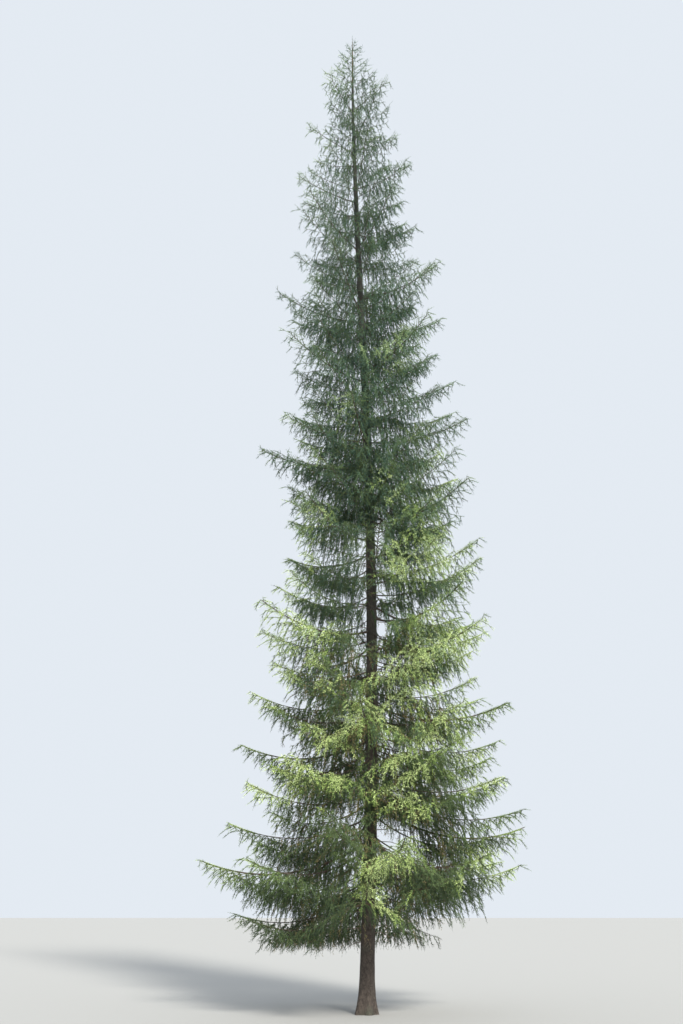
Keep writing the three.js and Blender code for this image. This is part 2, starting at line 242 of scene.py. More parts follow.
# Needles, all round each shoot
# They are finer at the crown's surface than deep in it.
INNER_NEEDLES = {"step": 0.0195, "length": 0.04, "base": 0.0135}
OUTER_NEEDLES = {"step": 0.0112, "length": 0.033, "base": 0.0084}
FINE_FROM = 0.4  # share of the crown's reach where they begin to be finer, and where they are finest
FINE_FULL = 0.8
FEWEST_NEEDLES = 3
NEEDLE_PLACE = 0.7  # where a needle sits in its step
NEEDLE_ANGLE = 0.86  # radians from the shoot
NEEDLE_TURN = 2.4  # radians around the shoot from one needle to the next
ROLL_SPREAD = 0.5
NEEDLE_LENGTHS = (0.75, 1.15)
NEEDLE_ANGLES = (0.8, 1.2)
SHORTER_AT_TIP = 0.3
CLOSER_AT_TIP = 0.4
NEEDLE_FLOOR = FOLIAGE_FLOOR - 0.02
CROWN_LEAST_DEPTH = 0.02

# Openings on the viewer's side where the trunk shows: lowest and highest point, half width, and
# the share of the branchlets that are missing there.
OPENINGS = (
    (4.7, 7.3, 0.2, 0.93),
    (11.2, 14.6, 0.13, 0.6),
    (0.0, 1.7, 0.3, 0.7),
)
OPENINGS_BEFORE = -0.05  # only branchlets whose Y is below this are left out

# The tones of the needles, from the darkest to the lightest. "grown" is the needles' own colour; the
# darker tones carry painted shade and the lighter ones painted sunlight, the lightest also fresh growth.
# Low in the crown they are warm and high in it cool, partly a bluish bloom and partly painted haze and
# sky light.
WARM_TONES = ("deep", "shade", "grown", "sunlit", "fresh sunlit")
COOL_TONES = tuple("cool " + tone for tone in WARM_TONES)
DRY = len(WARM_TONES) + len(COOL_TONES)
TONE_STEPS = (0.1, 0.34, 0.58, 0.84)
COOL_FROM = 3.5
COOL_FULL = 10.0
DRY_BELOW = 5.5  # inside the crown and lower than this, some sprays are dry
DRY_WITHIN = 0.55
DRY_CHANCE = 0.2
# What makes a shoot's painted light lighter or darker: painted sunlight outside and in clumps, painted
# shade inside and low down
LIGHT_OUTSIDE = 0.62
SHADE_INSIDE = 0.24
LIGHT_PATCHES = 0.2
LIGHT_SPREAD = 0.15
LIGHT_SUNLIT = 0.9
LOW_SHADE = 0.25
LOW_SHADE_BELOW = 2.4
LEAST_REACH = 0.3

# Clumps where sunlight is painted into the needles' tones: those of the viewer's side, each with its
# place across, its height and its half size, then a number of others on the sides and at the back.
SUNLIT_FRONT = (
    (-1.15, 5.35, 0.75),
    (-1.7, 5.0, 0.65),
    (-0.6, 4.4, 0.5),
    (0.5, 4.5, 0.8),
    (1.2, 5.2, 0.65),
    (1.2, 4.2, 0.7),
    (0.8, 6.5, 0.65),
    (-0.6, 3.5, 0.85),
    (0.2, 3.4, 0.5),
    (0.6, 2.9, 0.9),
    (-1.5, 3.1, 0.6),
    (0.25, 1.7, 0.6),
    (-2.0, 2.1, 0.45),
    (1.4, 6.9, 0.5),
    (0.2, 7.8, 0.55),
    (-0.9, 7.1, 0.5),
    (0.4, 10.4, 0.6),
    (-0.5, 9.3, 0.45),
)
SUNLIT_OUT = 0.76  # how far out in the crown they are
SUNLIT_AROUND = 34
SUNLIT_FIRST_TURN = math.radians(-50)
SUNLIT_SWEEP = math.radians(280)
SUNLIT_STRAY = 0.8  # share of the way to the next clump
SUNLIT_HEIGHT_STEPS = 7  # the heights are dealt out in steps of this many, so that neighbours differ
SUNLIT_LOWEST = 1.7
SUNLIT_HIGHEST = 10.0
SUNLIT_OUTS = (0.66, 0.86)
SUNLIT_SIZES = (0.4, 0.8)
SUNLIT_EDGE = 1.7  # over 1 makes them even in the middle and sharper at the edge

# Leader, the leading shoot: tiers of small shoots, each with its height and length as shares of it
LEADER_TIERS = ((0.04, 0.4), (0.2, 0.36), (0.36, 0.3), (0.52, 0.24), (0.7, 0.16))
LEADER_SHOOTS = 5
LEADER_TONE = len(WARM_TONES) + COOL_TONES.index("cool shade")
LEADER_LIGHTER = 0.6  # a shoot whose draw is over this has the next lighter tone
LEADER_CLEAR = 0.03  # left free under the tree's full height
LEADER_ROOT = 0.05  # how deep it starts in the trunk
LEADER_BARE = 0.1
LEADER_TURN_SPREAD = 0.2
LEADER_SEAT_SPREAD = 0.03
LEADER_RISE = 0.25
LEADER_LENGTHS = (0.8, 1.1)
LEADER_TIP = (0.82, 0.42)  # out along its way and up
LEADER_SHOOT_RADIUS = 0.004
LEADER_SHOOT_BARE = 0.04
LEADER_SIDE_PLACES = (0.4, 0.66)
LEADER_SIDE_WAY = (0.8, 0.2)  # aside and up
LEADER_SIDE_LENGTH = 0.26

# Dead twigs on the lower trunk
DEAD_TWIGS = 46
DEAD_LOWEST = 0.9
DEAD_HEIGHTS = 5.6
DEAD_CROWDING = 1.3
DEAD_TURN = 2.4  # radians around the trunk from one to the next
DEAD_TURN_SPREAD = 0.5
DEAD_SEAT = 0.6  # share of the trunk's radius where one starts
DEAD_LENGTHS = (0.35, 1.1)
DEAD_BOW = 0.05
DEAD_SLOPE_SPREAD = 0.1
DEAD_DROP = 0.22
DEAD_RADIUS = 0.0075
DEAD_SIDE_FEWEST = 3
DEAD_SIDE_MORE = 4
DEAD_SIDE_PLACES = (0.3, 0.95)
DEAD_SIDE_LENGTHS = (0.14, 0.44)
DEAD_SIDE_FIRST = 1.2
DEAD_SIDE_WAY = (0.6, 1.2, 0.5)  # along the twig, aside and down
DEAD_SIDE_RADIUS = 0.003

# Floor, light and camera
FLOOR_SIZE = 160
FLOOR_COLOUR = (0.42, 0.42, 0.41, 1)
FLOOR_ROUGHNESS = 0.9
SKY_COLOUR = (0.84, 0.9, 0.97, 1)
SKY_STRENGTH = 0.92
SUN_COLOUR = (1.0, 0.96, 0.88)
SUN_STRENGTH = 4.9
SUN_WIDTH = 12  # degrees across
SUN_TILT = 55  # degrees from upright
SUN_TURN = 24
CAMERA_PLACE = (-0.36, -17.0, 1.6)
CAMERA_PITCH = 20.2  # degrees above the horizon
CAMERA_LENS = 36.9  # millimetres, as is the long side of its picture
CAMERA_LONG_SIDE = 36
CAMERA_LEVEL = 90  # degrees from looking straight down to looking level


def seeded(seed):
    """A stream of numbers from 0 to 1 that is the same for the same seed."""
    state = seed & 0xFFFFFFFF

    def draw():
        nonlocal state
        state = (state + 0x6D2B79F5) & 0xFFFFFFFF
        mix = ((state ^ (state >> 15)) * (1 | state)) & 0xFFFFFFFF
        mix = ((mix + ((mix ^ (mix >> 7)) * (61 | mix))) & 0xFFFFFFFF) ^ mix
        return ((mix ^ (mix >> 14)) & 0xFFFFFFFF) / 2**32

    return draw


def either(draw):
    return 2 * draw() - 1


def between(draw, limits):
    low, high = limits
    return low + (high - low) * draw()


def hand_of(number):
    """-1 and 1 in turn."""
    return 1 if number % 2 else -1


def linear(red, green, blue):
    """A colour as it looks, from 0 to 255, as the light it sends back."""

    def one(value):
        share = value / 255
        return share / 12.92 if share <= 0.04045 else ((share + 0.055) / 1.055) ** 2.4

    return (one(red), one(green), one(blue), 1.0)


# The tree's rule

def sway(height):
    return SWAY * np.sin(math.pi * height / SWAY_HALF_WAVE)


def trunk_centre(height):
    return Vector((sway(height), 0, height))


def trunk_radius(height):
    return BUTT_RADIUS * (1 - height / TREE_HEIGHT) ** TAPER_POWER + TIP_RADIUS


def whorl_height(index):
    share = 1 - (1 - index / TOP_INDEX) ** WHORL_CROWDING
    return CROWN_FOOT + (TOP_WHORL - CROWN_FOOT) * share


def crown_depth(height):
    """0 at the top of the crown and 1 at its lowest whorl."""
    return (CROWN_TOP - height) / (CROWN_TOP - CROWN_FOOT)


def crown_reach(height):
    return MAX_REACH * math.sqrt(max(0.0, min(1.0, crown_depth(height))))


class Whorl:
    def __init__(self, index):
        self.index = index
        self.height = whorl_height(index)
        self.boughs, degrees = WHORLS[index]
        self.turn = math.radians(degrees)
        depth = crown_depth(self.height)
        self.reach = MAX_REACH * math.sqrt(depth)
        self.rise = TOP_RISE - RISE_LOSS * depth
        self.sag = MOST_SAG * math.sqrt(depth)
        below = whorl_height(index - 1) if index else FOLIAGE_FLOOR
        self.drop = self.height - below


class Bough:
    """One bough: a curve from the trunk's centre line to its tip, and how thick it is."""

    def __init__(self, whorl, azimuth, reach, lift, bend, rise, thickness):
        self.whorl = whorl
        self.azimuth = azimuth
        self.reach = reach
        self.lift = lift
        self.bend = bend
        self.rise = rise
        self.sag = whorl.sag
        self.thickness = thickness
        self.forward = Vector((math.cos(azimuth), math.sin(azimuth), 0))
        self.side = Vector((-self.forward.y, self.forward.x, 0))
        self.root = trunk_centre(whorl.height + lift)
        self.leaf_start = LEAF_START_LOW if whorl.index < BARE_WHORLS else LEAF_START_HIGH

    def at(self, t):
        climb = self.reach * (self.rise * t - 4 * self.sag * t * (1 - t))
        across = self.reach * self.bend * t * t
        return self.root + self.forward * (self.reach * t) + self.side * across + UP * climb

    def slope(self, t):
        return self.rise - 4 * self.sag * (1 - 2 * t)

    def radius(self, t):
        return self.thickness * LIMB_SHARE * self.reach * (1 - LIMB_TAPER * t) + LIMB_CORE


def main_bough(whorl, number):
    draw = seeded(SEED_BOUGH_STEP * whorl.index + number + 1)
    sector = whorl.turn + TURN * number / whorl.boughs
    around = ((sector - SPIRAL_START) % TURN) / TURN
    azimuth = sector + AZIMUTH_SPREAD * either(draw) / 2
    reach = whorl.reach * (1 - REACH_SPREAD * draw())
    lift = whorl.drop * (SPIRAL * (around - 0.5) + LIFT_SPREAD * either(draw))
    return Bough(whorl, azimuth, reach, lift, BEND * either(draw), whorl.rise, 1)


def lesser_lifts(whorl):
    """How far under its whorl each lesser bough is, as a share of the drop to the whorl below."""
    if whorl.index == 0:
        return LOWEST_LIFTS
    if whorl.index == TOP_INDEX:
        return TOP_LIFTS
    gap = LESSER_GAP_LOW + (LESSER_GAP_HIGH - LESSER_GAP_LOW) * whorl.index / TOP_INDEX
    gaps = round(whorl.drop / gap)
    return [-step / gaps for step in range(1, gaps)]


def lesser_boughs(main, draw):
    """The thinner boughs that fill the room between a main bough and the whorl below it."""
    whorl = main.whorl
    half_sector = math.pi / whorl.boughs
    made = []
    for step, share in enumerate(lesser_lifts(whorl)):
        aside = hand_of(step) * half_sector * LESSER_TURN * between(draw, LESSER_TURN_SHARES)
        lift = main.lift + whorl.drop * (share + LESSER_LIFT_SPREAD * either(draw))
        lift = max(lift, LOWEST_ROOT - whorl.height)
        reach = min(whorl.reach, crown_reach(whorl.height + lift)) * between(draw, LESSER_REACH)
        rise = whorl.rise + LESSER_RISE_SPREAD * either(draw)
        bend = BEND * either(draw)
        made.append(Bough(whorl, main.azimuth + aside, reach, lift, bend, rise, LESSER_THICKNESS))
    return made


def screen_boughs(main, draw):
    """The short boughs of a mass that faces the viewer, which hide the trunk behind them."""
    whorl = main.whorl
    aside = (main.azimuth + math.pi / 2 + math.pi) % TURN - math.pi
    if abs(aside) > math.pi / whorl.boughs:
        return []
    made = []
    for step in range(int(whorl.drop / SCREEN_GAP)):
        lift = main.lift - (step + draw()) * SCREEN_GAP
        height = whorl.height + lift
        azimuth = -math.pi / 2 + SCREEN_TURN * either(draw)
        reach = crown_reach(height) * between(draw, SCREEN_REACH)
        if any(bottom < height < top for bottom, top in SCREENS):
            bend = BEND * either(draw)
            made.append(Bough(whorl, azimuth, reach, lift, bend, whorl.rise, LESSER_THICKNESS))
    return made


# Tones

def patch(point):
    """From -1 to 1, the same over a clump of about half a metre: two waves in radians for each metre."""
    first = math.sin(3.1 * point.x + 1.9 * point.z + 0.6) * math.sin(2.7 * point.y - 2.3 * point.z)
    second = math.sin(6.3 * point.z + 2.1 * point.x - 3.7 * point.y)
    return 0.65 * first + 0.35 * second


def sunlit_clumps():
    """The middles and half sizes of the sunlit clumps on all sides."""
    draw = seeded(SEED_SUNLIT)
    clumps = []
    for across, height, wide in SUNLIT_FRONT:
        out = SUNLIT_OUT * crown_reach(max(height, CROWN_FOOT))
        clumps.append(((across, -math.sqrt(max(0, out**2 - across**2)), height), wide))
    for i in range(SUNLIT_AROUND):
        turn = SUNLIT_FIRST_TURN + SUNLIT_SWEEP * (i + SUNLIT_STRAY * draw()) / SUNLIT_AROUND
        climb = (SUNLIT_HEIGHT_STEPS * i) % SUNLIT_AROUND / SUNLIT_AROUND
        height = SUNLIT_LOWEST + (SUNLIT_HIGHEST - SUNLIT_LOWEST) * climb
        out = crown_reach(max(height, CROWN_FOOT)) * between(draw, SUNLIT_OUTS)
        centre = (out * math.cos(turn), out * math.sin(turn), height)
        clumps.append((centre, between(draw, SUNLIT_SIZES)))
    return clumps


CLUMPS = sunlit_clumps()


def sunlight(point):
    """How much painted sunlight a point gets: 1 in the middle of a sunlit clump and 0 outside them all.
    """
    most = 0
    for (x, y, z), wide in CLUMPS:
        if abs(point.z - z) < wide:
            far = math.dist(point, (x, y, z)) / wide
            most = max(most, min(1, SUNLIT_EDGE * (1 - far * far)))
    return most


def tone_at(point, light, draw):
    """The tone of a shoot, with painted light and shade: lighter towards the crown's surface and in the
    sunlit clumps, darker deep in it and low down.
    """
    out = math.hypot(point.x, point.y) / max(LEAST_REACH, crown_reach(point.z))
    light = light + LIGHT_OUTSIDE * out - SHADE_INSIDE + LIGHT_PATCHES * patch(point)
    light = light + LIGHT_SPREAD * either(draw) + LIGHT_SUNLIT * sunlight(point)
    # Painted shade on the lowest shoots.
    light = light - LOW_SHADE * min(1, max(0, LOW_SHADE_BELOW - point.z))
    if out < DRY_WITHIN and point.z < DRY_BELOW and draw() < DRY_CHANCE:
        return DRY
    level = sum(light > step for step in TONE_STEPS)
    cool = (point.z - COOL_FROM) / (COOL_FULL - COOL_FROM) > draw()
    return level + len(WARM_TONES) * cool


# Shoots

class Growth:
    """The twigs and shoots of one mass. Each runs from its root round a bend to its tip."""

    def __init__(self):
        self.rows = []

    def add(self, root, bend, tip, radius, bare, tone, kind):
        self.rows.append((root, bend, tip, radius, bare, tone, kind))

    def add_shoot(self, root, tip, tone):
        self.add(root, (root + tip) / 2, tip, SHOOT_RADIUS, 0, tone, SHOOT)

    def columns(self):
        """An array for each thing that a row holds, in the same order."""
        return [np.array(column) for column in zip(*self.rows)]


def on_line(root, bend, tip, s):
    return root * (1 - s) ** 2 + bend * (2 * s * (1 - s)) + tip * s**2


def seat_on(line, s):
    """The point of a line at a share of its length, and the way that it runs there."""
    seat = on_line(*line, s)
    return seat, (on_line(*line, s + LOOK_AHEAD) - seat).normalized()


def is_open(point, draw):
    """True if a branchlet here is left out, so that the trunk shows from the front."""
    chance = draw()
    if point.y > OPENINGS_BEFORE:
        return False
    aside = abs(point.x - trunk_centre(point.z).x)
    return any(low < point.z < high and aside < half and chance < missing
               for low, high, half, missing in OPENINGS)


def kept_share(root, tip):
    """How much of the way from root to tip lies within the crown's widest reach."""
    near, far = math.hypot(root.x, root.y), math.hypot(tip.x, tip.y)
    if far <= SPREAD_LIMIT:
        return 1
    return max(0, (SPREAD_LIMIT - near) / (far - near))


def shoot(growth, root, way, long, light, draw):
    """One straight side shoot."""
    long = long * kept_share(root, root + way * long)
    if long < SHORTEST_SHOOT:
        return
    tip = root + way * long
    growth.add_shoot(root, tip, tone_at(tip, light, draw))


def hanging_shoots(growth, line, across, long, hang, tone, draw):
    """The side shoots of a branchlet, to its left and right in turn."""
    along, aside, down = SHOOT_WAY
    count = int(long / SHOOT_STEP)
    for i in range(count):
        s = (i + SHOOT_FIRST) / (count + SHOOT_SPARE)
        seat, ahead = seat_on(line, s)
        size = SHOOT_LENGTH * between(draw, SHOOT_LENGTHS) * (1 - SHOOT_LOSS * s)
        way = ahead * along + across * (aside * hand_of(i)) - UP * (down * hang)
        tip = seat + way.normalized() * size
        if kept_share(seat, tip) < 1:
            continue
        growth.add_shoot(seat, tip, tone)


def branchlet(growth, root, outward, long, hang, light, draw):
    """A branchlet with its side shoots. hang is 1 where it falls straight and 0 where it is level."""
    fall = LEVEL_FALL + HANGING_FALL * hang
    room = (root.z - FOLIAGE_FLOOR) / fall
    long = min(long, room * (ROOM_USED + (1 - ROOM_USED) * draw()))
    if long < SHORTEST_HANG:
        return
    stray = Vector((either(draw), either(draw), 0)) * HANG_STRAY
    lean = outward * (HANG_LEAN + LEVEL_LEAN * (1 - hang)) + stray
    bend = root + lean * (0.5 * long) - UP * (long * HANG_BOW * hang)
    tip = root + lean * (HANG_ACROSS * long + LEVEL_ACROSS * long * (1 - hang)) - UP * (long * fall)
    if is_open(tip, draw) or kept_share(root, tip) < 1:
        return
    straight = long < STRAIGHT_HANG
    if straight:
        bend = (root + tip) / 2
    tone = tone_at(tip, light, draw)
    growth.add(root, bend, tip, HANG_RADIUS, HANG_BARE, tone, SHOOT if straight else BRANCHLET)
    across = (tip - root).cross(outward + stray + NUDGE).normalized()
    hanging_shoots(growth, (root, bend, tip), across, long, hang, tone, draw)


def fan(growth, line, long, light, draw):
    """The level side shoots of a lateral, to its left and right in turn, towards its end."""
    count = int(long * (1 - FAN_START) / FAN_STEP)
    for i in range(count):
        s = FAN_START + (1 - FAN_START) * (i + 0.5) / count
        seat, ahead = seat_on(line, s)
        across = ahead.cross(UP).normalized() * hand_of(i)
        aside = between(draw, FAN_ASIDE)
        rise = FAN_RISE_SPREAD * either(draw) - FAN_DROP
        way = ahead * FAN_AHEAD + across * aside + UP * rise
        size = FAN_LENGTH * (FAN_FIRST_SIZE - FAN_SIZE_LOSS * s) * between(draw, FAN_LENGTHS)
        shoot(growth, seat, way.normalized(), size, light + FAN_LIGHT, draw)


def lateral(growth, bough, t, hand, light, draw):
    """One side twig of a bough, with the branchlets that hang from it and its fan of shoots."""
    root = bough.at(t)
    turn = hand * (LATERAL_ANGLE * (1 - ANGLE_LOSS * t) + ANGLE_SPREAD * either(draw))
    way = bough.forward * math.cos(turn) + bough.side * math.sin(turn)
    long = (LATERAL_SHARE * bough.reach * (1 - t) + LATERAL_EXTRA) * between(draw, LATERAL_LENGTHS)
    slope = (bough.rise - LATERAL_DROP) * (1 - t) + (bough.slope(t) - TIP_DROP) * t
    long = long * kept_share(root, root + way * long)
    if long < SHORTEST_SHOOT:
        return
    slope = max(slope, (LATERAL_FLOOR - root.z) / long)
    bend = root + way * (0.5 * long) + UP * (0.5 * slope * long + LATERAL_BOW * long)
    tip = root + way * long + UP * (slope * long)
    radius = LATERAL_RADIUS * bough.radius(t) + LATERAL_CORE
    tone = tone_at(tip, light + LATERAL_LIGHT, draw)
    growth.add(root, bend, tip, radius, LATERAL_BARE * (1 - t), tone, LATERAL)
    hang = 1 - HANG_LOSS * t**2
    hang_length = HANG_LENGTH + HANG_BY_REACH * bough.reach
    thinned = THIN_MOST if bough.whorl.index < THIN_BELOW_WHORL else THIN_MOST_HIGH
    along, aside = HANG_WAY
    steps = max(1, int(long / HANG_STEP))
    for j in range(steps):
        if draw() < thinned * (1 - t / THIN_WITHIN):
            continue
        s = (j + HANG_FIRST + HANG_PLACES * draw()) / steps
        outward = (way * along + way.cross(UP) * (aside * hand_of(j))).normalized()
        size = hang_length * (1 - HANG_SHORTER * s) * (1 - HANG_SHORTER * t)
        size = size * between(draw, HANG_LENGTHS)
        seat = on_line(root, bend, tip, s)
        level = hang * (1 - HANG_LEVELLING * s)
        branchlet(growth, seat, outward, size, level, light + HANG_LIGHT * s, draw)
    size = hang_length * (1 - BOUGH_HANG_SHORTER * t) * between(draw, BOUGH_HANG_LENGTHS)
    seat = bough.at(t + BOUGH_HANG_AHEAD)
    branchlet(growth, seat, bough.side * -hand, size, hang, light, draw)
    fan(growth, (root, bend, tip), long, light, draw)


def bough_tip(growth, bough, light, draw):
    """The crowded shoots of a bough's outer end, and the needled end itself."""
    along, aside, climb = TIP_WAY
    count = int(bough.reach * (1 - TIP_START) / TIP_STEP)
    for i in range(count):
        t = TIP_START + (TIP_END - TIP_START) * (i + 0.5) / count
        size = TIP_LENGTH * (TIP_FIRST_SIZE - (t - TIP_START) / (1 - TIP_START))
        size = size * between(draw, TIP_LENGTHS)
        way = bough.forward * along + bough.side * (aside * hand_of(i)) + UP * (climb * bough.slope(t))
        shoot(growth, bough.at(t), way.normalized(), size, light + TIP_LIGHT, draw)
    seat = bough.at(BOUGH_END)
    bend = bough.at((BOUGH_END + 1) / 2)
    tone = tone_at(seat, light + TIP_LIGHT, draw)
    growth.add(seat, bend, bough.at(1), bough.radius(BOUGH_END), 0, tone, BRANCHLET)


def dress(growth, bough, draw):
    """The laterals and branchlets of one bough."""
    light = BOUGH_LIGHT_SPREAD * either(draw)
    start = bough.leaf_start
    count = max(FEWEST_LATERALS, int(bough.reach * (1 - start) / LATERAL_STEP))
    for i in range(count):
        t = start + (1 - start) * (i + 0.5) / count
        lateral(growth, bough, t, hand_of(i), light, draw)
    bough_tip(growth, bough, light, draw)


def leader_growth():
    """The leading shoot, with tiers of small shoots that turn up."""
    draw = seeded(SEED_LEADER)
    growth = Growth()
    long = TREE_HEIGHT - TRUNK_TOP
    foot = trunk_centre(TRUNK_TOP)
    top = foot + UP * (long - LEADER_CLEAR)
    root = foot - UP * LEADER_ROOT
    radius = trunk_radius(TRUNK_TOP)
    growth.add(root, (foot + top) / 2, top, radius, LEADER_BARE, LEADER_TONE, LATERAL)
    out, up = LEADER_TIP
    aside, climb = LEADER_SIDE_WAY
    for tier, (share, size) in enumerate(LEADER_TIERS):
        for i in range(LEADER_SHOOTS):
            turn = TURN * (i + tier / 2 + LEADER_TURN_SPREAD * either(draw)) / LEADER_SHOOTS
            way = Vector((math.cos(turn), math.sin(turn), LEADER_RISE))
            seat = foot + UP * (long * (share + LEADER_SEAT_SPREAD * either(draw)))
            reach = long * size * between(draw, LEADER_LENGTHS)
            bend = seat + way * (reach * 0.5)
            tip = seat + way * (reach * out) + UP * (reach * up)
            tone = LEADER_TONE + (draw() > LEADER_LIGHTER)
            growth.add(seat, bend, tip, LEADER_SHOOT_RADIUS, LEADER_SHOOT_BARE, tone, BRANCHLET)
            for hand in (-1, 1):
                across = way.cross(UP).normalized() * hand
                aim = way.normalized() + across * aside + UP * climb
                for s in LEADER_SIDE_PLACES:
                    start = on_line(seat, bend, tip, s)
                    growth.add_shoot(start, start + aim * (reach * LEADER_SIDE_LENGTH), LEADER_TONE)
    return growth


def dead_growth():
    """Bare dead twigs inside the lower crown."""
    draw = seeded(SEED_DEAD_TWIGS)
    growth = Growth()
    along, aside, down = DEAD_SIDE_WAY
    for i in range(DEAD_TWIGS):
        height = DEAD_LOWEST + DEAD_HEIGHTS * ((i + draw()) / DEAD_TWIGS) ** DEAD_CROWDING
        turn = DEAD_TURN * i + DEAD_TURN_SPREAD * either(draw)
        way = Vector((math.cos(turn), math.sin(turn), 0))
        long = between(draw, DEAD_LENGTHS)
        root = trunk_centre(height) + way * (trunk_radius(height) * DEAD_SEAT)
        bend = root + way * (0.5 * long) + UP * (DEAD_BOW * long)
        tip = root + way * long + UP * (long * (DEAD_SLOPE_SPREAD * either(draw) - DEAD_DROP))
        if tip.z < FOLIAGE_FLOOR:
            continue
        growth.add(root, bend, tip, DEAD_RADIUS, 1, DRY, LATERAL)
        across = way.cross(UP)
        for _ in range(DEAD_SIDE_FEWEST + int(DEAD_SIDE_MORE * draw())):
            s = between(draw, DEAD_SIDE_PLACES)
            seat = on_line(root, bend, tip, s)
            size = between(draw, DEAD_SIDE_LENGTHS) * (DEAD_SIDE_FIRST - s)
            aim = way * along + across * (aside * (draw() - 0.5)) - UP * (down * draw())
            end = seat + aim.normalized() * size
            middle = (seat + end) / 2 + UP * (DEAD_BOW * size)
            growth.add(seat, middle, end, DEAD_SIDE_RADIUS, 1, DRY, BRANCHLET)
    return growth


# Meshes from arrays

def joined(name, corners, faces, materials, slots=None):
    """One mesh object from arrays of corners and of triangles, each with its material's number."""
    mesh = bpy.data.meshes.new(name)
    mesh.vertices.add(len(corners))
    mesh.vertices.foreach_set("co", corners.astype(np.float32).ravel())
    mesh.loops.add(faces.size)
    mesh.loops.foreach_set("vertex_index", faces.astype(np.int32).ravel())
    mesh.polygons.add(len(faces))
    mesh.polygons.foreach_set("loop_start", np.arange(0, faces.size, 3, dtype=np.int32))
    for material in materials:
        mesh.materials.append(material)
    if slots is not None:
        mesh.polygons.foreach_set("material_index", slots.astype(np.int32))
    mesh.update(calc_edges=True)
    piece = bpy.data.objects.new(name, mesh)
    bpy.context.scene.collection.objects.link(piece)
    return piece


def merged(parts):
    """The corners and triangles of several parts as one list of each."""
    starts = np.cumsum([0] + [len(corners) for corners, _ in parts])
    corners = np.concatenate([corners for corners, _ in parts])
    faces = np.concatenate([faces + start for (_, faces), start in zip(parts, starts)])
    return corners, faces


def unit(vectors):
    return vectors / np.maximum(1e-9, np.linalg.norm(vectors, axis=-1, keepdims=True))


def tubes(points, radii, sides):
    """Round tapering lines, each closed at its tip. points is lines by steps by 3."""
    lines, steps, _ = points.shape
    ahead = unit(np.gradient(points, axis=1))
    mean = unit(points[:, -1] - points[:, 0])
    steep = np.abs(mean[:, 2:3]) > STEEP
    reference = np.where(steep, np.array([[1.0, 0, 0]]), np.array([[0, 0, 1.0]]))[:, None]
    across = unit(np.cross(ahead, reference))
    over = np.cross(across, ahead)
    angle = TURN * np.arange(sides) / sides
    ring = across[:, :, None] * np.cos(angle)[:, None] + over[:, :, None] * np.sin(angle)[:, None]
    rings = (points[:, :, None] + ring * radii[:, :, None, None])[:, :-1]
    corners = np.concatenate([rings.reshape(lines, -1, 3), points[:, -1:]], axis=1)
    i = np.arange(sides)
    j = (i + 1) % sides
    walls = []
    for step in range(steps - 2):
        a, b = step * sides, (step + 1) * sides
        walls.append(np.stack([a + i, a + j, b + j], axis=1))
        walls.append(np.stack([a + i, b + j, b + i], axis=1))
    last, tip = (steps - 2) * sides, (steps - 1) * sides
    walls.append(np.stack([last + i, last + j, np.full(sides, tip)], axis=1))
    pattern = np.concatenate(walls)
    faces = (pattern[None] + (np.arange(lines) * (tip + 1))[:, None, None]).reshape(-1, 3)
    return corners.reshape(-1, 3), faces


def twig_piece(name, growth, materials):
    """The laterals of a mass in the first material, and its finer twigs in the second."""
    parts, slots = [], []
    *lines, radii, _, _, kinds = growth.columns()
    for kind, (steps, sides) in TUBES.items():
        picked = kinds == kind
        if not picked.any():
            continue
        root, bend, tip = (ends[picked][:, None] for ends in lines)
        points = on_line(root, bend, tip, np.linspace(0, 1, steps)[None, :, None])
        taper = np.linspace(1, TWIG_TIP, steps)[None]
        parts.append(tubes(points, radii[picked][:, None] * taper, sides))
        slots.append(np.full(len(parts[-1][1]), 0 if kind == LATERAL else 1))
    return joined(name, *merged(parts), materials, np.concatenate(slots))


def needle_sizes(tips):
    """The step, length and base of the needles of each shoot, finer towards the crown's surface."""
    depth = np.clip(crown_depth(tips[:, 2]), CROWN_LEAST_DEPTH, 1)
    out = np.hypot(tips[:, 0], tips[:, 1]) / (MAX_REACH * np.sqrt(depth))
    fine = np.clip((out - FINE_FROM) / (FINE_FULL - FINE_FROM), 0, 1)
    inner, outer = INNER_NEEDLES, OUTER_NEEDLES
    return [inner[key] + (outer[key] - inner[key]) * fine for key in ("step", "length", "base")]


